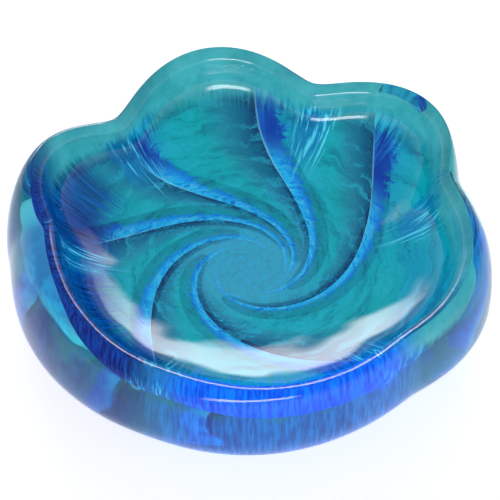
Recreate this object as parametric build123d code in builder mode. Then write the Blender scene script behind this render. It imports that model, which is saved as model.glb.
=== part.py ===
from build123d import *
import os
from math import asin, atan2, cos, degrees, hypot, log, pi, radians, sin, sqrt

# Thick-walled art glass bowl with six hand-worked lobes and six blue spiral trails.
#
# The glass is three layers fused while hot: a smooth aqua lining, six blue trails laid on the
# outside of the lining and twisted clockwise towards the floor, and a thick outer casing that
# closes over them, makes the belly and carries the flat foot.
#
# Millimetres, +Z up. The origin is the centre of the flat foot, on the surface it stands on.
# Angles are degrees about +Z from +X.

os.makedirs("parts", exist_ok=True)

# ---- driving dimensions ----
# six lobes, all worked by hand, so all differ: lobe i lies between pinch i and pinch i + 1
PINCH_ANGLE = [12, 70, 135, 188, 247, 312]
CREST_RADIUS_PINCH = [69, 67, 66, 68, 73, 73]     # top of the rim, at the pinches
CREST_RADIUS_LOBE = [80, 77, 75, 71, 76, 75]      # top of the rim, at the middle of each lobe
BELLY_RADIUS_PINCH = [75, 70, 70, 81, 81, 78]     # widest part of the wall
BELLY_RADIUS_LOBE = [80, 78, 81, 82, 81, 83]
CREST_HEIGHT_PINCH = [42, 41, 39, 42, 38, 38]
CREST_HEIGHT_LOBE = [44, 47, 46, 41, 38, 41]
PINCH_SOFTNESS = 0.25      # 0 is a sharp cusp, 1 a plain wave

FOOT_RADIUS = 52           # flat disc that it stands on
BELLY_HEIGHT = 20
LOW_WALL_POWER = 2.3       # superellipse powers of the three arcs of the section
HIGH_WALL_POWER = 2.1
INSIDE_POWER = 2.3
LIP_RADIUS = 4.5           # inner rounding of the rim
FLOOR_HEIGHT = 14          # inside floor above the table
LINING_FLOOR = 3.5         # thickness of the lining at the floor

# each trail: angle where it starts near the rim, then degrees turned per e-fold of radius,
# and how much that grows with each e-fold
TRAILS = [(48, 40, 48), (84, 12, 50), (129, 5, 60), (178, 25, 50), (241, 45, 35), (309, 60, 30)]
TRAIL_TOP_SHARE = 0.93     # start of a trail, as a share of the rim's radius there
TRAIL_END_RADIUS = 16
TRAIL_HALF_WIDTH = 4.5
TRAIL_DEPTH = 2.6          # how far a trail stands into the casing
TRAIL_TIP = 0.3            # size of a trail's ends, as a share of its full section
TRAIL_STATIONS = 12

POINTS_PER_LOBE = 10
CENTRE_SPOT = 3            # radius of the level spot in the middle of each dished surface
NEARBY = 0.01              # short step that a trail's direction and the seam's slope are read over


# ---- section of the bowl at one angle ----
def around(angle, at_pinch, at_lobe):
    """Value at an angle: a smooth run between the pinches plus a rounded swell on each lobe."""
    count = len(PINCH_ANGLE)
    for i, start in enumerate(PINCH_ANGLE):
        end = PINCH_ANGLE[(i + 1) % count]
        part = ((angle - start) % 360) / ((end - start) % 360)
        if part < 1:
            break
    first, last = at_pinch[i], at_pinch[(i + 1) % count]
    swell = sqrt(sin(pi * part) ** 2 + PINCH_SOFTNESS**2) - PINCH_SOFTNESS
    swell /= sqrt(1 + PINCH_SOFTNESS**2) - PINCH_SOFTNESS
    run = first + (last - first) * (1 - cos(pi * part)) / 2
    return run + (at_lobe[i] - (first + last) / 2) * swell


def crest_radius(angle):
    return around(angle, CREST_RADIUS_PINCH, CREST_RADIUS_LOBE)


def crest_height(angle):
    return around(angle, CREST_HEIGHT_PINCH, CREST_HEIGHT_LOBE)


def belly_radius(angle):
    return around(angle, BELLY_RADIUS_PINCH, BELLY_RADIUS_LOBE)


def arc(turn, power):
    """Superellipse quarter: the two factors that stand in for sine and cosine."""
    return sin(radians(turn)) ** (2 / power), abs(cos(radians(turn))) ** (2 / power)


def low_wall(angle, turn):
    """From the foot (0) out to the belly (90)."""
    out, up = arc(turn, LOW_WALL_POWER)
    return FOOT_RADIUS + (belly_radius(angle) - FOOT_RADIUS) * out, BELLY_HEIGHT * (1 - up)


def high_wall(angle, turn):
    """From the belly (0) in to the crest of the rim (90)."""
    up, out = arc(turn, HIGH_WALL_POWER)
    crest = crest_radius(angle)
    height = BELLY_HEIGHT + (crest_height(angle) - BELLY_HEIGHT) * up
    return crest + (belly_radius(angle) - crest) * out, height


def lip(angle, turn):
    """From the crest of the rim (0) over to the inside wall (90)."""
    drop = LIP_RADIUS * (1 - cos(radians(turn)))
    return crest_radius(angle) - LIP_RADIUS * sin(radians(turn)), crest_height(angle) - drop


def dish(angle, turn, radius, floor):
    """A dished surface, from the middle of its floor (0) up to the given radius (90)."""
    out, up = arc(turn, INSIDE_POWER)
    top = crest_height(angle) - LIP_RADIUS
    return radius * out, floor + (top - floor) * (1 - up)


def inside(angle, turn):
    return dish(angle, turn, crest_radius(angle) - LIP_RADIUS, FLOOR_HEIGHT)


def inside_spot(angle, turn):
    return CENTRE_SPOT, FLOOR_HEIGHT


def seam_spot(angle, turn):
    return CENTRE_SPOT, FLOOR_HEIGHT - LINING_FLOOR


def seam(angle, turn):
    """Where the lining meets the casing."""
    return dish(angle, turn, crest_radius(angle), FLOOR_HEIGHT - LINING_FLOOR)


# ---- skins, each one smooth face with a level ring or the crest at its ends ----
def at(angle, radius, height):
    return Vector(radius * cos(radians(angle)), radius * sin(radians(angle)), height)


def ring(section, turn):
    """Closed smooth curve round the bowl at one place on its section, with knots at set angles."""
    angles, points = [], []
    for i, start in enumerate(PINCH_ANGLE):
        span = (PINCH_ANGLE[(i + 1) % len(PINCH_ANGLE)] - start) % 360
        for k in range(POINTS_PER_LOBE):
            angles.append(start + span * k / POINTS_PER_LOBE)
            points.append(at(angles[-1], *section(angles[-1], turn)))
    knots = angles + [angles[0] + 360]
    return Wire([Edge.make_spline(points, periodic=True, parameters=knots)])


def skin(steps):
    return Shell.make_loft([ring(section, turn) for section, turn in steps]).faces()


def closed(*faces):
    return Solid(Shell(list(faces)))


# rings of each skin: close together where it bends, and no two neighbours very unequal in spacing
WALL_RINGS = [(low_wall, turn) for turn in (0, 12, 24, 38, 54, 72, 90)]
WALL_RINGS += [(high_wall, turn) for turn in (20, 40, 58, 75, 90)]
LIP_RINGS = [(lip, turn) for turn in (0, 30, 60, 90)]
DISH_TURNS = (90, 74, 58, 44, 31, 20, 10)

outside_skin = skin(WALL_RINGS)
lip_skin = skin(LIP_RINGS)
inside_skin = skin([(inside, turn) for turn in DISH_TURNS] + [(inside_spot, 0)])
edge_skin = skin([(lip, 0), (seam, 90)])
seam_skin = skin([(seam, turn) for turn in DISH_TURNS] + [(seam_spot, 0)])
foot_face = Face(ring(low_wall, 0))
inside_cap = Face(ring(inside_spot, 0))
seam_cap = Face(ring(seam_spot, 0))
joint_skin = [*edge_skin, *seam_skin, seam_cap]

with BuildPart() as lining:
    add(closed(*lip_skin, *inside_skin, inside_cap, *joint_skin))
lining.part.label = "inner_lining"
export_step(lining.part, "parts/inner_lining.step")

with BuildPart() as casing:
    add(closed(*outside_skin, foot_face, *joint_skin))


# ---- blue trails, each let into the casing on the seam ----
def on_seam(angle, radius):
    """Point of the seam at an angle and a distance from the axis."""
    turn = degrees(asin((radius / crest_radius(angle)) ** (INSIDE_POWER / 2)))
    return at(angle, *seam(angle, turn))


def trail_point(trail, share):
    """Middle line of a trail: 0 at the rim end, 1 at the floor end, clockwise inwards."""
    start, turn, growth = trail
    top = TRAIL_TOP_SHARE * crest_radius(start)
    folds = share * log(top / TRAIL_END_RADIUS)
    radius = top * (TRAIL_END_RADIUS / top) ** share
    return on_seam(start - folds * (turn + growth * folds), radius)


def trail_plane(trail, share):
    """Plane across a trail: its x lies along the seam, its y stands off the seam."""
    middle = trail_point(trail, share)
    along = trail_point(trail, share + NEARBY) - trail_point(trail, share - NEARBY)
    radius = hypot(middle.X, middle.Y)
    wall = middle - on_seam(degrees(atan2(middle.Y, middle.X)), radius - NEARBY)
    off = wall.cross(Vector(-middle.Y, middle.X, 0))
    return Plane(origin=middle, x_dir=off.cross(along), z_dir=along)


for number, trail in enumerate(TRAILS, start=1):
    with BuildPart() as bead:
        for k in range(TRAIL_STATIONS):
            share = k / (TRAIL_STATIONS - 1)
            size = TRAIL_TIP + (1 - TRAIL_TIP) * sqrt(abs(sin(pi * share)))
            with BuildSketch(trail_plane(trail, share)):
                Ellipse(TRAIL_HALF_WIDTH * size, TRAIL_DEPTH * size)
        loft()
    with BuildPart() as blue_trail:
        add(casing.part)
        add(bead.part, mode=Mode.INTERSECT)
    blue_trail.part.label = f"blue_trail_{number}"
    export_step(blue_trail.part, f"parts/blue_trail_{number}.step")
    with casing:
        add(bead.part, mode=Mode.SUBTRACT)

casing.part.label = "outer_casing"
export_step(casing.part, "parts/outer_casing.step")
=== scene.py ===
"""Art glass bowl: lining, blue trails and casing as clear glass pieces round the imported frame."""

from math import atan2, cos, degrees, e, pi, radians, sin, sqrt

import bmesh
import bpy
from bpy.props import FloatProperty, FloatVectorProperty, PointerProperty
from mathutils import Matrix, Vector


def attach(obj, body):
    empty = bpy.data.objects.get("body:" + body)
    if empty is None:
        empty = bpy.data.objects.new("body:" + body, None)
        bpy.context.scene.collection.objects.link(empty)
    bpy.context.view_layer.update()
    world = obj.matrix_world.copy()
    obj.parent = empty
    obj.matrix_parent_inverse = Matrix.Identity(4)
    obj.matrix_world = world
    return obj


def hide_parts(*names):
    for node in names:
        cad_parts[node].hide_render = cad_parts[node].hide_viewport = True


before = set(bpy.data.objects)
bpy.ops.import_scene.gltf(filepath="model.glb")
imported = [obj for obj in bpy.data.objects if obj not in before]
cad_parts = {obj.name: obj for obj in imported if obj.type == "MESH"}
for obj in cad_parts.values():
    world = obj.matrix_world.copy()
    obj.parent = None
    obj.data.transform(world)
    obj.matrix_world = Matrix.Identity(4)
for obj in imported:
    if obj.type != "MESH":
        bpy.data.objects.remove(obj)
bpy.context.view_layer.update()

bl_info = {
    "name": "Art Glass Bowl",
    "version": (1, 0, 0),
    "blender": (4, 5, 0),
    "location": "3D View > Sidebar > Bowl",
    "description": "Makes a lobed, swirled art glass bowl and a plain stage for it",
    "category": "Add Mesh",
}

MM = 0.001

# section of the bowl, millimetres and degrees, the same as the frame's
PINCH_ANGLE = [12, 70, 135, 188, 247, 312]
CREST_RADIUS_PINCH = [69, 67, 66, 68, 73, 73]
CREST_RADIUS_LOBE = [80, 77, 75, 71, 76, 75]
BELLY_RADIUS_PINCH = [75, 70, 70, 81, 81, 78]
BELLY_RADIUS_LOBE = [80, 78, 81, 82, 81, 83]
CREST_HEIGHT_PINCH = [42, 41, 39, 42, 38, 38]
CREST_HEIGHT_LOBE = [44, 47, 46, 41, 38, 41]
PINCH_SOFTNESS = 0.25
FOOT_RADIUS = 52
BELLY_HEIGHT = 20
LOW_WALL_POWER = 2.3
HIGH_WALL_POWER = 2.1
INSIDE_POWER = 2.3
LIP_RADIUS = 4.5
FLOOR_HEIGHT = 14
LINING_FLOOR = 3.5

# each trail: start angle near the rim, degrees turned per e-fold of radius, growth of the turn
TRAILS = [(48, 40, 48), (84, 12, 50), (129, 5, 60), (178, 25, 50), (241, 45, 35), (309, 60, 30)]
TRAIL_TOP_SHARE = 0.93     # start of a trail, as a share of the rim's radius there

SEAM_GAP = 0.15            # each layer stops this short of the seam, where the trails' tops lie
ARM_EDGE = 5.0             # how far a trail's sharp edge lies from its middle, round the bowl

# mesh steps: round the bowl, and along each stretch of its section
STEPS_AROUND = 288
FOOT_STEPS = 14
LOW_WALL_STEPS = 28
HIGH_WALL_STEPS = 36
LIP_STEPS = 12
EDGE_STEPS = 3
DISH_STEPS = 64

# ---- colours of the worked glass, among them painted shade, painted glints and painted glow, the first of a pair the darker ----
# aqua of the petals; its last, darkest stops are painted shade, the shadow beside the arm behind
PETAL_AND_SHADE = [(0.00, (0.00, 0.30, 0.55)), (0.25, (0.00, 0.37, 0.44)), (0.58, (0.00, 0.36, 0.40)),
         (0.76, (0.01, 0.22, 0.33)), (0.90, (0.00, 0.10, 0.22)), (1.00, (0.00, 0.02, 0.12))]
PETAL_STROKES = (0.00, 0.14, 0.23), (0.01, 0.42, 0.55)
MIDDLE = (0.04, 0.34, 0.50)
SPECKS = (0.02, 0.16, 0.30), (0.00, 0.45, 0.85)
ARM = (0.00, 0.28, 0.90), (0.01, 0.55, 1.00)
ARM_BRISTLES = (0.00, 0.13, 0.62), (0.10, 0.72, 1.00)
ARM_OUTER_END = (0.00, 0.06, 0.45)
CREASE = (0.30, 0.66, 0.66)
RIM = (0.05, 0.37, 0.41), (0.09, 0.48, 0.51)
BRUSH_LOW = (0.00, 0.03, 0.26), (0.01, 0.26, 0.66)
# upper part of the arms' ends: brushed strokes whose pale cyan threads are painted glints
BRUSH_AND_GLINT_HIGH = (0.00, 0.32, 0.48), (0.03, 0.68, 0.86)
INNER_NAVY = (0.00, 0.01, 0.14), (0.00, 0.07, 0.42)
INNER_ROYAL = (0.00, 0.08, 0.70), (0.00, 0.24, 1.00)
# painted glints at the pinches: light strokes among dark ones
PINCH_GLINT = (0.00, 0.18, 0.45), (0.12, 0.75, 0.95)
# painted glow of the outer wall's navy and royal fibres, which send out light though the glass is no
# lamp
OUTER_NAVY_GLOW = (0.00, 0.01, 0.10), (0.00, 0.05, 0.32)
OUTER_ROYAL_GLOW = (0.00, 0.05, 0.48), (0.00, 0.24, 1.00)
NAVY_TONE = (0.00, 0.06, 0.36)
ROYAL_TONE = (0.00, 0.12, 0.55)
# painted glow: cyan light near the foot, sent out though the glass is no lamp
FOOT_CYAN_GLOW = (0.00, 0.55, 0.75)
TRAIL_BACK = (0.07, 0.40, 0.44)
CLEAR_OUTSIDE = (0.88, 0.98, 0.98)
CLEAR_INSIDE = (0.92, 0.99, 1.00)
SWIRL_IN_LINING = 0.15     # how much of the swirl's colour tints the lining's inside face
FIBRES_AROUND = 70         # how closely the upright fibres of the wall stand

# coloured parts of the wall: direction, reach to each side, degrees
NAVY_SIDE = (205, 52)
NAVY_BACK = (168, 24)
ROYAL_FRONT = (280, 38)
ROYAL_RIGHT = (343, 38)
CYAN_FOOT_GLOW = (250, 100)
BARE_BACK = (80, 26)       # lobe whose arm has the weakest brushed end
PINCH_REACH = 7

# where each colour starts and is full: radii or heights, millimetres
ARM_TIPS = (10.0, 18.0)
ARM_TURNS_NAVY = (46.0, 60.0)
CREASE_RADIUS = (34.0, 48.0)
MIDDLE_RADIUS = (27.0, 14.0)
SPECK_RADIUS = (48.0, 22.0)
OUTER_WALL_RADIUS = (50.0, 60.0)
WALL_HEIGHT = (15.0, 20.0)
RIM_HEIGHT = (25.0, 33.0)
BRUSH_AND_GLINT_BOTTOM = (19.0, 25.0)
BRUSH_AND_GLINT_TOP = (34.0, 27.0)
BRUSH_TO_GLINT_HEIGHT = (24.0, 28.0)
TRAIL_BACK_HEIGHT = (18.0, 26.0)

# ---- stage, metres and degrees ----
FLOOR_RADIUS = 4.0
FLOOR_DROP = 0.0004        # keeps the floor's face just clear of the foot's
FLOOR_LIGHT = 0.68
CAMERA_ELEVATION = 46
CAMERA_DISTANCE = 0.600
CAMERA_AIM = 0.021         # height that the camera looks at
VIEW_WIDTH = 0.1695        # width in view at that distance
SENSOR_WIDTH = 36          # millimetres, as the camera has it
WINDOW_LIGHT = (8.0, 8.0, 8.0)
WINDOW_REACH = (40, 10)    # to each side, where its edge starts and where it is full
WINDOW_RISE = (0.14, 0.06)
LAMP_LIGHT = (11.0, 11.0, 11.0)
LAMP_HEIGHT = 18
LAMP_REACH = (26, 16)
LAMP_RISE = (0.10, 0.05)
HORIZON_LIGHT = (1.0, 1.0, 1.0)
ZENITH_LIGHT = (0.25, 0.25, 0.25)


# ---- section of the bowl at one angle, in millimetres ----
def around(angle, at_pinch, at_lobe):
    """Value at an angle: a smooth run between the pinches plus a rounded swell on each lobe."""
    count = len(PINCH_ANGLE)
    for i, start in enumerate(PINCH_ANGLE):
        end = PINCH_ANGLE[(i + 1) % count]
        part = ((angle - start) % 360) / ((end - start) % 360)
        if part < 1:
            break
    first, last = at_pinch[i], at_pinch[(i + 1) % count]
    swell = sqrt(sin(pi * part) ** 2 + PINCH_SOFTNESS**2) - PINCH_SOFTNESS
    swell /= sqrt(1 + PINCH_SOFTNESS**2) - PINCH_SOFTNESS
    run = first + (last - first) * (1 - cos(pi * part)) / 2
    return run + (at_lobe[i] - (first + last) / 2) * swell


def crest_radius(angle):
    return around(angle, CREST_RADIUS_PINCH, CREST_RADIUS_LOBE)


def crest_height(angle):
    return around(angle, CREST_HEIGHT_PINCH, CREST_HEIGHT_LOBE)


def belly_radius(angle):
    return around(angle, BELLY_RADIUS_PINCH, BELLY_RADIUS_LOBE)


def arc(turn, power):
    """Superellipse quarter: the two factors that stand in for sine and cosine."""
    return sin(radians(turn)) ** (2 / power), abs(cos(radians(turn))) ** (2 / power)


def foot(angle, share):
    """From the middle of the flat foot (0) out to its edge (1)."""
    return FOOT_RADIUS * share, 0


def low_wall(angle, turn):
    """From the foot (0) out to the belly (90)."""
    out, up = arc(turn, LOW_WALL_POWER)
    return FOOT_RADIUS + (belly_radius(angle) - FOOT_RADIUS) * out, BELLY_HEIGHT * (1 - up)


def high_wall(angle, turn):
    """From the belly (0) in to the crest of the rim (90)."""
    up, out = arc(turn, HIGH_WALL_POWER)
    crest = crest_radius(angle)
    height = BELLY_HEIGHT + (crest_height(angle) - BELLY_HEIGHT) * up
    return crest + (belly_radius(angle) - crest) * out, height


def lip(angle, turn):
    """From the crest of the rim (0) over to the inside wall (90)."""
    drop = LIP_RADIUS * (1 - cos(radians(turn)))
    return crest_radius(angle) - LIP_RADIUS * sin(radians(turn)), crest_height(angle) - drop


def dish(angle, turn, radius, floor):
    """A dished surface, from the middle of its floor (0) up to the given radius (90)."""
    out, up = arc(turn, INSIDE_POWER)
    top = crest_height(angle) - LIP_RADIUS
    return radius * out, floor + (top - floor) * (1 - up)


def inside(angle, turn):
    return dish(angle, turn, crest_radius(angle) - LIP_RADIUS, FLOOR_HEIGHT)


def lining_back(angle, turn):
    return dish(angle, turn, crest_radius(angle) - SEAM_GAP, FLOOR_HEIGHT - LINING_FLOOR + SEAM_GAP)


def casing_front(angle, turn):
    return dish(angle, turn, crest_radius(angle) + SEAM_GAP, FLOOR_HEIGHT - LINING_FLOOR - SEAM_GAP)


def lining_edge(angle, share):
    """The last straight stretch of the lining's back, up to the crest of the rim."""
    return crest_radius(angle) - SEAM_GAP, crest_height(angle) - LIP_RADIUS * (1 - share)


def casing_edge(angle, share):
    """The same stretch on the casing, which closes to the crest as it rises."""
    short = 1 - share
    return crest_radius(angle) + SEAM_GAP * short, crest_height(angle) - LIP_RADIUS * short


def at(angle, radius, height):
    turn = radians(angle)
    return Vector((radius * cos(turn), radius * sin(turn), height)) * MM


# ---- meshes ----
def steps(section, first, last, count):
    """Places on the section from first to last, the last one left out."""
    return [(section, first + (last - first) * k / count) for k in range(count)]


def turned_glass(name, places, seam_from, seam_to):
    """Closed layer of glass: its section is spun about the axis, then worked into lobes.

    Faces between the places seam_from and seam_to are on the fused side, with slot 1.
    """
    bm = bmesh.new()
    station = bm.verts.layers.int.new("station")
    chain = []
    for k, (section, turn) in enumerate(places):
        radius, height = section(0, turn)
        vert = bm.verts.new((radius * MM, 0, height * MM))
        vert[station] = k
        chain.append(vert)
    edges = [bm.edges.new(pair) for pair in zip(chain, chain[1:])]
    bmesh.ops.spin(bm, geom=chain + edges, axis=(0, 0, 1), cent=(0, 0, 0), dvec=(0, 0, 0),
                   angle=2 * pi, steps=STEPS_AROUND, use_merge=True)
    bmesh.ops.remove_doubles(bm, verts=bm.verts[:], dist=1e-7)
    for vert in bm.verts:
        section, turn = places[vert[station]]
        angle = degrees(atan2(vert.co.y, vert.co.x))
        vert.co = at(angle, *section(angle, turn))
    bmesh.ops.recalc_face_normals(bm, faces=bm.faces[:])
    for face in bm.faces:
        stations = [v[station] for v in face.verts]
        face.smooth = True
        face.material_index = int(min(stations) >= seam_from and max(stations) <= seam_to)
    for edge in bm.edges:
        faces = edge.link_faces
        if len(faces) == 2 and faces[0].material_index != faces[1].material_index:
            edge.smooth = False
    mesh = bpy.data.meshes.new(name)
    bm.to_mesh(mesh)
    bm.free()
    piece = bpy.data.objects.new(name, mesh)
    bpy.context.collection.objects.link(piece)
    return piece


def finished(piece, node, slot, *materials):
    """Gives a piece its materials and puts it in the place of a node of the frame."""
    for material in materials:
        piece.data.materials.append(material)
    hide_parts(node)
    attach(piece, "root")


# ---- shader writing ----
class Num:
    """A number socket that takes part in Python sums."""

    def __init__(self, tree, socket):
        self.tree, self.socket = tree, socket

    def _math(self, operation, *values):
        return self.tree.math(operation, *values)

    def __add__(self, other):
        return self._math("ADD", self, other)

    def __radd__(self, other):
        return self._math("ADD", other, self)

    def __sub__(self, other):
        return self._math("SUBTRACT", self, other)

    def __rsub__(self, other):
        return self._math("SUBTRACT", other, self)

    def __mul__(self, other):
        return self._math("MULTIPLY", self, other)

    def __rmul__(self, other):
        return self._math("MULTIPLY", other, self)

    def __truediv__(self, other):
        return self._math("DIVIDE", self, other)

    def __rtruediv__(self, other):
        return self._math("DIVIDE", other, self)


class Shader:
    """Node tree of one material or world, with short calls for the nodes that it uses."""

    def __init__(self, owner):
        owner.use_nodes = True
        self.owner = owner
        self.nodes = owner.node_tree.nodes
        self.links = owner.node_tree.links
        self.nodes.clear()

    def node(self, kind, settings=None, **sockets):
        """A node of a type, with its settings set first and then its sockets' values or links."""
        node = self.nodes.new("ShaderNode" + kind)
        for key, value in (settings or {}).items():
            if key == "stops":
                ramp = node.color_ramp
                while len(ramp.elements) < len(value):
                    ramp.elements.new(0.5)
                for element, (place, color) in zip(ramp.elements, value):
                    element.position, element.color = place, (*color, 1)
            else:
                setattr(node, key, value)
        for key, value in sockets.items():
            name = key.replace("_", " ")
            numbered = name[0] == "i" and name[1:].isdigit()
            self.feed(node.inputs[int(name[1:]) if numbered else name], value)
        return node

    def feed(self, slot, value):
        """Links a socket to an input, or sets the input to a plain value."""
        if isinstance(value, Num):
            value = value.socket
        if isinstance(value, bpy.types.NodeSocket):
            self.links.new(value, slot)
        elif isinstance(value, tuple) and len(value) == 3 and slot.type == "RGBA":
            slot.default_value = (*value, 1)
        else:
            slot.default_value = value

    def math(self, operation, *values):
        sockets = {f"i{k}": value for k, value in enumerate(values)}
        return Num(self, self.node("Math", {"operation": operation}, **sockets).outputs[0])

    def smooth(self, value, start, end):
        """0 before start, 1 past end, smooth between; end may be the lower of the two."""
        node = self.node("MapRange", {"interpolation_type": "SMOOTHSTEP"}, Value=value,
                         From_Min=start, From_Max=end)
        return Num(self, node.outputs[0])

    def vector(self, x, y, z):
        return self.node("CombineXYZ", X=x, Y=y, Z=z).outputs[0]

    def noise(self, x, y, z, detail, roughness):
        place = self.vector(x, y, z)
        node = self.node("TexNoise", Vector=place, Scale=1.0, Detail=detail, Roughness=roughness)
        return Num(self, node.outputs[0])

    def mix(self, factor, first, second):
        node = self.node("Mix", {"data_type": "RGBA"})
        self.feed(node.inputs[0], factor)
        self.feed(node.inputs[6], first)
        self.feed(node.inputs[7], second)
        return node.outputs[2]

    def ramp(self, factor, stops):
        return self.node("ValToRGB", {"stops": stops}, Fac=factor).outputs[0]

    def split(self, vector):
        """The three parts of a vector, as numbers."""
        apart = self.node("SeparateXYZ", Vector=vector)
        return [Num(self, apart.outputs[k]) for k in range(3)]

    def glass(self, ior, roughness, tint, absorb=None, density=0.0, clear=1.0, glow=None,
              strength=0.0, wave=0.0):
        """Glass with a surface tint, an even absorption through it and a hand-worked waviness."""
        sockets = {"Base_Color": tint, "Roughness": roughness, "IOR": ior,
                   "Transmission_Weight": clear, "Emission_Strength": strength}
        shader = self.node("BsdfPrincipled", **sockets)
        if glow is not None:
            self.feed(shader.inputs["Emission Color"], glow)
        if wave:
            x, y, z, _, _ = self.place()
            swell = self.noise(x * 0.05, y * 0.05, z * 0.05, 1.0, 0.5)
            bump = self.node("Bump", Strength=wave, Distance=1.5 * MM, Height=swell)
            self.feed(shader.inputs["Normal"], bump.outputs[0])
        out = self.node("OutputMaterial")
        self.links.new(shader.outputs[0], out.inputs["Surface"])
        if density:
            body = self.node("VolumeAbsorption", Color=absorb, Density=density)
            self.links.new(body.outputs[0], out.inputs["Volume"])
        return self.owner

    def place(self):
        """The shaded point's x, y and z and distance from the axis in mm, and angle in radians."""
        where = self.split(self.node("TexCoord").outputs["Object"])
        x, y, z = (part * (1 / MM) for part in where)
        radius = self.math("SQRT", x * x + y * y)
        return x, y, z, radius, self.math("ARCTAN2", y, x)


# ---- properties ----
class BowlLook(bpy.types.PropertyGroup):
    lining_tint: FloatVectorProperty(
        name="Lining colour", description="Colour that the lining's glass lets through",
        default=(0.72, 0.93, 0.95), size=3, subtype="COLOR", min=0, max=1)
    casing_tint: FloatVectorProperty(
        name="Casing colour", description="Colour that the casing's glass lets through",
        default=(0.0, 0.80, 0.84), size=3, subtype="COLOR", min=0, max=1)
    casing_density: FloatProperty(
        name="Casing depth of colour", description="Absorption of the casing, per metre",
        default=45.0, min=0)
    lining_density: FloatProperty(
        name="Lining depth of colour", description="Absorption of the lining, per metre",
        default=30.0, min=0)
    seam_clearness: FloatProperty(
        name="Clearness of the seam", description="Share of light that passes the worked colours",
        default=0.30, min=0, max=1)
    wave: FloatProperty(
        name="Waviness", description="Strength of the slow waves that hand working leaves",
        default=0.4, min=0, max=1)
    # painted glow: the outer wall's blue fibres send out light though the glass is no lamp
    wall_glow: FloatProperty(
        name="Wall glow", description="Light that the blue fibres in the outer wall send out",
        default=0.45, min=0, max=5)
    # painted glow: the worked colours send out light though the glass is no lamp
    glow: FloatProperty(
        name="Glow", description="Light that the worked colours send out from inside the glass",
        default=0.54, min=0, max=5)
    window_height: FloatProperty(
        name="Window height", description="Degrees above the horizon of the soft window's middle",
        default=24.0, min=0, max=80)
    glass_ior: FloatProperty(
        name="Refraction", description="Refractive index of the glass", default=1.5, min=1, max=2)


# ---- patterns of the worked glass ----
def facing(shader, angle, middle, reach):
    """1 where the angle is near the middle one, 0 past the reach, both in degrees."""
    near = shader.math("COSINE", angle - radians(middle))
    return shader.smooth(near, cos(radians(reach)), cos(radians(reach * 0.6)))


def fibres(shader, angle, z):
    """Fine upright fibres, which run all round the wall."""
    x = shader.math("COSINE", angle) * FIBRES_AROUND
    y = shader.math("SINE", angle) * FIBRES_AROUND
    return shader.noise(x, y, z * 0.12, 3.0, 0.6)


def streaks(shader, fibre, pair):
    """Fibres that run between a pair of colours."""
    return shader.mix(shader.smooth(fibre, 0.35, 0.65), *pair)


def to_next_arm(shader, radius, angle):
    """Angle on to the next arm's sharp edge, and that as a share of the way between two arms."""
    ahead, behind = None, None
    for start, turn, growth in TRAILS:
        folds = shader.math("LOGARITHM", TRAIL_TOP_SHARE * crest_radius(start) / radius, e)
        arm = radians(start) - folds * (folds * radians(growth) + radians(turn)) + ARM_EDGE / radius
        gap = shader.math("WRAP", arm - angle, 2 * pi, 0.0)
        ahead = gap if ahead is None else shader.math("MINIMUM", ahead, gap)
        rest = 2 * pi - gap
        behind = rest if behind is None else shader.math("MINIMUM", behind, rest)
    return ahead, ahead / (ahead + behind)


def petals(shader, radius, share, cloud, stroke, speck):
    """Cloudy aqua between the arms, with painted shade that darkens it towards the arm behind, and a
    speckled floor.
    """
    # painted shade: the ramp darkens towards the arm behind
    color = shader.ramp(share + (cloud - 0.5) * 0.15, PETAL_AND_SHADE)
    dark, light = PETAL_STROKES
    color = shader.mix(shader.smooth(stroke, 0.50, 0.64) * 0.6, color, light)
    color = shader.mix(shader.smooth(stroke, 0.50, 0.36) * 0.65, color, dark)
    middle = shader.smooth(radius + (cloud - 0.5) * 16, *MIDDLE_RADIUS)
    color = shader.mix(middle * 0.85, color, MIDDLE)
    near = shader.smooth(radius + (cloud - 0.5) * 40, *SPECK_RADIUS)
    dark, light = SPECKS
    color = shader.mix(shader.smooth(speck, 0.54, 0.62) * near * 0.75, color, light)
    return shader.mix(shader.smooth(speck, 0.45, 0.36) * near * 0.5, color, dark)


def arms(shader, color, radius, ahead, bristle):
    """Blue arms over the petals, each with one sharp edge, a pale crease and one ragged edge."""
    width = radius * 0.11 + 2.5
    ragged = ahead * radius / width + (bristle - 0.5) * 2.6
    band = shader.smooth(ragged, 1.12, 0.88) * shader.smooth(radius, *ARM_TIPS)
    deep, bright = ARM
    blue = shader.mix(shader.smooth(ragged, 0.30, 1.00), bright, deep)
    dark, light = ARM_BRISTLES
    blue = shader.mix(shader.smooth(bristle, 0.52, 0.58) * 0.7, blue, light)
    blue = shader.mix(shader.smooth(bristle, 0.47, 0.40) * 0.8, blue, dark)
    outer = shader.smooth(radius + (bristle - 0.5) * 14, *ARM_TURNS_NAVY)
    blue = shader.mix(outer, blue, ARM_OUTER_END)
    color = shader.mix(band, color, blue)
    crease = shader.smooth(ahead * radius, 0.9, 0.3) * shader.smooth(radius, *CREASE_RADIUS)
    return shader.mix(crease * 0.5, color, CREASE)


def arm_ends(shader, color, radius, angle, height, ahead, fibre):
    """Brushed blue at the arms' outer ends, paler at the top, where the cyan threads are painted
    glints, and weak on the back lobe.
    """
    thread = shader.smooth(fibre, 0.38, 0.62)
    low, high = shader.mix(thread, *BRUSH_LOW), shader.mix(thread, *BRUSH_AND_GLINT_HIGH)
    # painted glints: the pale cyan threads near the rim
    brush_and_glint = shader.mix(shader.smooth(height, *BRUSH_TO_GLINT_HEIGHT), low, high)
    ends = shader.smooth(height, *BRUSH_AND_GLINT_BOTTOM) * shader.smooth(height, *BRUSH_AND_GLINT_TOP)
    ends = ends * shader.smooth(ahead * radius + (fibre - 0.5) * 12, 18.0, 6.0)
    ends = ends * (1.0 - facing(shader, angle, *BARE_BACK) * 0.8)
    return shader.mix(ends * 0.8, color, brush_and_glint)


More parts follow.
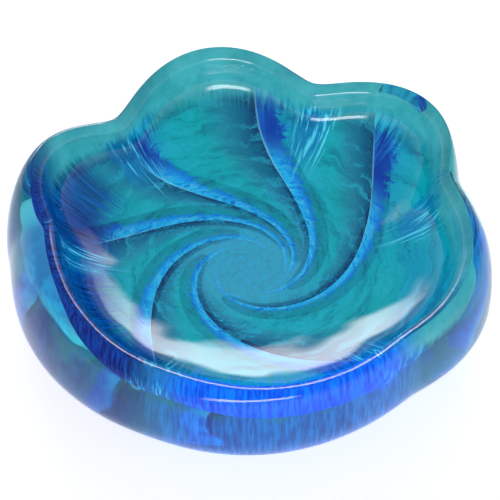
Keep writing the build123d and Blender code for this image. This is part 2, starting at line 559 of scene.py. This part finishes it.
def lobes(shader, color, z, angle, height, cloud, fibre):
    """Navy on the left, royal blue in front, and painted glints with dark strokes at the pinches."""
    wall = shader.smooth(height, *WALL_HEIGHT)
    navy = streaks(shader, fibre, INNER_NAVY)
    color = shader.mix(wall * facing(shader, angle, *NAVY_SIDE), color, navy)
    shade = wall * shader.smooth(height, 32.0, 27.0) * facing(shader, angle, *NAVY_BACK)
    color = shader.mix(shade * 0.9, color, navy)
    royal = streaks(shader, fibre, INNER_ROYAL)
    color = shader.mix(wall * facing(shader, angle, *ROYAL_FRONT), color, royal)
    # painted glints: bright strokes at each pinch
    glint = shader.mix(shader.smooth(fibre, 0.52, 0.62), *PINCH_GLINT)
    low = shader.smooth(z + (cloud - 0.5) * 24, 34.0, 26.0)
    for pinch in PINCH_ANGLE:
        spot = wall * facing(shader, angle + (fibre - 0.5) * 0.35, pinch, PINCH_REACH)
        color = shader.mix(spot * low * 0.85, color, glint)
    return color


def swirl(shader):
    """Colour of the worked glass by place: six petals between blue arms, the floor and the wall, with
    painted shade beside the arms and painted glints at the pinches and the arm ends.
    """
    x, y, z, radius, angle = shader.place()
    ahead, share = to_next_arm(shader, radius, angle)
    turned = shader.math("COSINE", angle)
    cloud = shader.noise(x * 0.07, y * 0.07, z * 0.07, 5.0, 0.65)
    bent = radius + cloud * 14
    bristle = shader.noise(bent * 0.9, share * 3.5, turned * 5, 4.0, 0.75)
    stroke = shader.noise(bent * 0.35, share * 2, turned * 3, 5.0, 0.65)
    speck = shader.noise(x * 0.9, y * 0.9, z * 0.9, 4.0, 0.85)
    fibre = fibres(shader, angle, z)
    height = z + (fibre - 0.5) * 8

    color = petals(shader, radius, share, cloud, stroke, speck)
    color = arms(shader, color, radius, ahead, bristle)
    rim = shader.mix(shader.smooth(cloud, 0.35, 0.65), *RIM)
    color = shader.mix(shader.smooth(height, *RIM_HEIGHT), color, rim)
    color = arm_ends(shader, color, radius, angle, height, ahead, fibre)
    return lobes(shader, color, z, angle, height, cloud, fibre)


# ---- glass materials ----
def inside_glass(look):
    """Polished inner face of the lining, with a breath of the swirl's colour."""
    shader = Shader(bpy.data.materials.new("lining_inside"))
    tint = shader.mix(SWIRL_IN_LINING, CLEAR_INSIDE, swirl(shader))
    return shader.glass(look.glass_ior, 0.02, tint, tuple(look.lining_tint), look.lining_density,
                        wave=look.wave)


def clear_seam(look):
    """Fused side of the lining: nothing bends or shines there, because the glass carries on."""
    shader = Shader(bpy.data.materials.new("lining_seam"))
    return shader.glass(1.0, 0.0, (1, 1, 1), tuple(look.lining_tint), look.lining_density)


def worked_seam(look):
    """Fused side of the casing, where the worked colours lie: part clear, part milky, and sending out
    a painted glow in the same colours.
    """
    shader = Shader(bpy.data.materials.new("casing_seam"))
    color = swirl(shader)
    return shader.glass(1.0, 0.0, color, tuple(look.casing_tint), look.casing_density,
                        clear=look.seam_clearness, glow=color, strength=look.glow)


def outside_glass(look):
    """Outer wall and foot: clear, with blue fibres at the left and in front that send out a painted
    glow, and a painted cyan glow near the foot.
    """
    shader = Shader(bpy.data.materials.new("casing_outside"))
    x, y, z, radius, angle = shader.place()
    fibre = fibres(shader, angle, z)
    patch = shader.noise(x * 0.08, y * 0.08, z * 0.10, 4.0, 0.6)
    edge = z + (patch - 0.5) * 22
    wall = shader.smooth(radius, *OUTER_WALL_RADIUS)
    navy, royal = streaks(shader, fibre, OUTER_NAVY_GLOW), streaks(shader, fibre, OUTER_ROYAL_GLOW)
    parts = [(NAVY_SIDE, 36, navy, NAVY_TONE), (ROYAL_FRONT, 36, royal, ROYAL_TONE),
             (ROYAL_RIGHT, 19, royal, ROYAL_TONE)]
    glow, tint = (0, 0, 0), CLEAR_OUTSIDE
    # painted glow from the navy and royal fibres; their tones also tint the glass
    for side, top, paint, tone in parts:
        part = wall * facing(shader, angle, *side) * shader.smooth(edge, top, top - 8.0)
        glow = shader.mix(part, glow, paint)
        tint = shader.mix(part * 0.9, tint, tone)
    # painted glow: patches of cyan light near the foot
    cyan = shader.smooth(edge, 5.0, 1.0) * wall * shader.smooth(patch, 0.48, 0.60)
    glow = shader.mix(cyan * facing(shader, angle, *CYAN_FOOT_GLOW), glow, FOOT_CYAN_GLOW)
    return shader.glass(look.glass_ior, 0.0, tint, tuple(look.casing_tint), look.casing_density,
                        glow=glow, strength=look.wall_glow, wave=look.wave)


def trail_glass(look):
    """The trails' own glass, in the swirl's colours, which fade to the rim's on their backs, and which
    sends out a painted glow in these colours.
    """
    shader = Shader(bpy.data.materials.new("blue_trail"))
    x, y, z, radius, _ = shader.place()
    side_x, side_y, _ = shader.split(shader.node("TexCoord").outputs["Normal"])
    outward = (x * side_x + y * side_y) / radius
    back = shader.smooth(outward, 0.0, 0.3) * shader.smooth(z, *TRAIL_BACK_HEIGHT)
    color = shader.mix(back, swirl(shader), TRAIL_BACK)
    return shader.glass(1.0, 0.5, color, clear=0.0, glow=color, strength=look.glow)


# ---- stage ----
def soft_patch(shader, x, y, z, height, reach, rise):
    """1 inside a soft-edged patch of sky about +Y: height in degrees, reach and rise as pairs."""
    level = shader.math("ABSOLUTE", shader.math("ARCTAN2", x, y))
    off = shader.math("ABSOLUTE", z - sin(radians(height)))
    return shader.smooth(level, radians(reach[0]), radians(reach[1])) * shader.smooth(off, *rise)


def pale_floor():
    """Plain pale disc that the bowl stands on."""
    bm = bmesh.new()
    bmesh.ops.create_circle(bm, cap_ends=True, segments=128, radius=FLOOR_RADIUS,
                            matrix=Matrix.Translation((0, 0, -FLOOR_DROP)))
    mesh = bpy.data.meshes.new("floor")
    bm.to_mesh(mesh)
    bm.free()
    shader = Shader(bpy.data.materials.new("pale_floor"))
    matt = shader.node("BsdfPrincipled", Base_Color=(0.8, 0.8, 0.8), Roughness=0.8,
                       Specular_IOR_Level=0.0, Emission_Color=(1, 1, 1),
                       Emission_Strength=FLOOR_LIGHT)
    shader.node("OutputMaterial", Surface=matt.outputs[0])
    mesh.materials.append(shader.owner)
    floor = bpy.data.objects.new("floor", mesh)
    bpy.context.collection.objects.link(floor)


def studio_light(look):
    """White horizon and grey sky, a wide soft window ahead of the camera and a lamp behind it."""
    world = bpy.data.worlds.new("studio")
    bpy.context.scene.world = world
    studio = Shader(world)
    x, y, z = studio.split(studio.node("TexCoord").outputs["Generated"])
    light = studio.ramp(z, [(0.0, HORIZON_LIGHT), (0.5, ZENITH_LIGHT)])
    window = soft_patch(studio, x, y, z, look.window_height, WINDOW_REACH, WINDOW_RISE)
    light = studio.mix(window, light, WINDOW_LIGHT)
    lamp = soft_patch(studio, x, 0.0 - y, z, LAMP_HEIGHT, LAMP_REACH, LAMP_RISE)
    light = studio.mix(lamp, light, LAMP_LIGHT)
    back = studio.node("Background", Color=light)
    studio.node("OutputWorld", Surface=back.outputs[0])


def studio_camera():
    """Camera in front of the bowl, looking down into it."""
    lens = bpy.data.cameras.new("camera")
    lens.sensor_width = SENSOR_WIDTH
    lens.lens = SENSOR_WIDTH * CAMERA_DISTANCE / VIEW_WIDTH
    lens.clip_start = 0.01
    camera = bpy.data.objects.new("camera", lens)
    bpy.context.collection.objects.link(camera)
    rise, aim = radians(CAMERA_ELEVATION), Vector((0, 0, CAMERA_AIM))
    camera.location = aim + Vector((0, -cos(rise), sin(rise))) * CAMERA_DISTANCE
    camera.rotation_euler = (aim - camera.location).to_track_quat("-Z", "Y").to_euler()
    bpy.context.scene.camera = camera


def light_paths(scene):
    """Plain colour, and enough bounces for light to cross four layers of glass and back."""
    scene.view_settings.view_transform = "Standard"
    scene.view_settings.look = "None"
    scene.view_settings.exposure = 0.0
    cycles = scene.cycles
    cycles.max_bounces = 40
    cycles.transmission_bounces = 40
    cycles.glossy_bounces = 12
    cycles.diffuse_bounces = 4
    cycles.transparent_max_bounces = 40
    cycles.caustics_reflective = True
    cycles.caustics_refractive = True
    cycles.sample_clamp_indirect = 6.0
    cycles.use_denoising = True


# ---- operators ----
class BOWL_OT_lining(bpy.types.Operator):
    """Smooth inner layer, from the middle of the floor to the crest of the rim"""
    bl_idname = "bowl.lining"
    bl_label = "Lining"

    def execute(self, context):
        look = context.scene.bowl_look
        top = steps(inside, 0, 90, DISH_STEPS) + steps(lip, 90, 0, LIP_STEPS)
        back = steps(lining_edge, 1, 0, EDGE_STEPS) + steps(lining_back, 90, 0, DISH_STEPS)
        places = top + back + [(lining_back, 0)]
        piece = turned_glass("lining_glass", places, len(top), len(places) - 1)
        finished(piece, "inner_lining", "lining_glass", inside_glass(look), clear_seam(look))
        return {"FINISHED"}


class BOWL_OT_casing(bpy.types.Operator):
    """Thick outer layer with the belly, the outer half of the rim and the foot"""
    bl_idname = "bowl.casing"
    bl_label = "Casing"

    def execute(self, context):
        look = context.scene.bowl_look
        out = steps(foot, 0, 1, FOOT_STEPS) + steps(low_wall, 0, 90, LOW_WALL_STEPS)
        out += steps(high_wall, 0, 90, HIGH_WALL_STEPS)
        back = steps(casing_edge, 1, 0, EDGE_STEPS) + steps(casing_front, 90, 0, DISH_STEPS)
        places = out + back + [(casing_front, 0)]
        piece = turned_glass("casing_glass", places, len(out), len(places) - 1)
        finished(piece, "outer_casing", "casing_glass", outside_glass(look), worked_seam(look))
        return {"FINISHED"}


class BOWL_OT_trails(bpy.types.Operator):
    """Six blue trails that swirl from the rim into the floor"""
    bl_idname = "bowl.trails"
    bl_label = "Blue trails"

    def execute(self, context):
        material = trail_glass(context.scene.bowl_look)
        for number in range(1, len(TRAILS) + 1):
            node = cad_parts[f"blue_trail_{number}"]
            node.data.materials.clear()
            node.data.materials.append(material)
        return {"FINISHED"}


class BOWL_OT_stage(bpy.types.Operator):
    """Plain pale floor, soft studio light and the camera"""
    bl_idname = "bowl.stage"
    bl_label = "Stage"

    def execute(self, context):
        pale_floor()
        studio_light(context.scene.bowl_look)
        studio_camera()
        light_paths(context.scene)
        return {"FINISHED"}


class BOWL_PT_panel(bpy.types.Panel):
    """Sidebar panel with the bowl's look and its makers"""
    bl_idname = "BOWL_PT_panel"
    bl_label = "Art Glass Bowl"
    bl_space_type = "VIEW_3D"
    bl_region_type = "UI"
    bl_category = "Bowl"

    def draw(self, context):
        look = context.scene.bowl_look
        for name in look.bl_rna.properties.keys():
            if name not in {"rna_type", "name"}:
                self.layout.prop(look, name)
        for operator in OPERATORS:
            self.layout.operator(operator.bl_idname)


OPERATORS = (BOWL_OT_lining, BOWL_OT_trails, BOWL_OT_casing, BOWL_OT_stage)
CLASSES = (BowlLook, *OPERATORS, BOWL_PT_panel)


def register():
    for cls in CLASSES:
        bpy.utils.register_class(cls)
    bpy.types.Scene.bowl_look = PointerProperty(type=BowlLook)


def unregister():
    del bpy.types.Scene.bowl_look
    for cls in reversed(CLASSES):
        bpy.utils.unregister_class(cls)


def main():
    register()
    bpy.ops.bowl.stage()
    bpy.ops.bowl.lining()
    bpy.ops.bowl.trails()
    bpy.ops.bowl.casing()


if __name__ == "__main__":
    main()
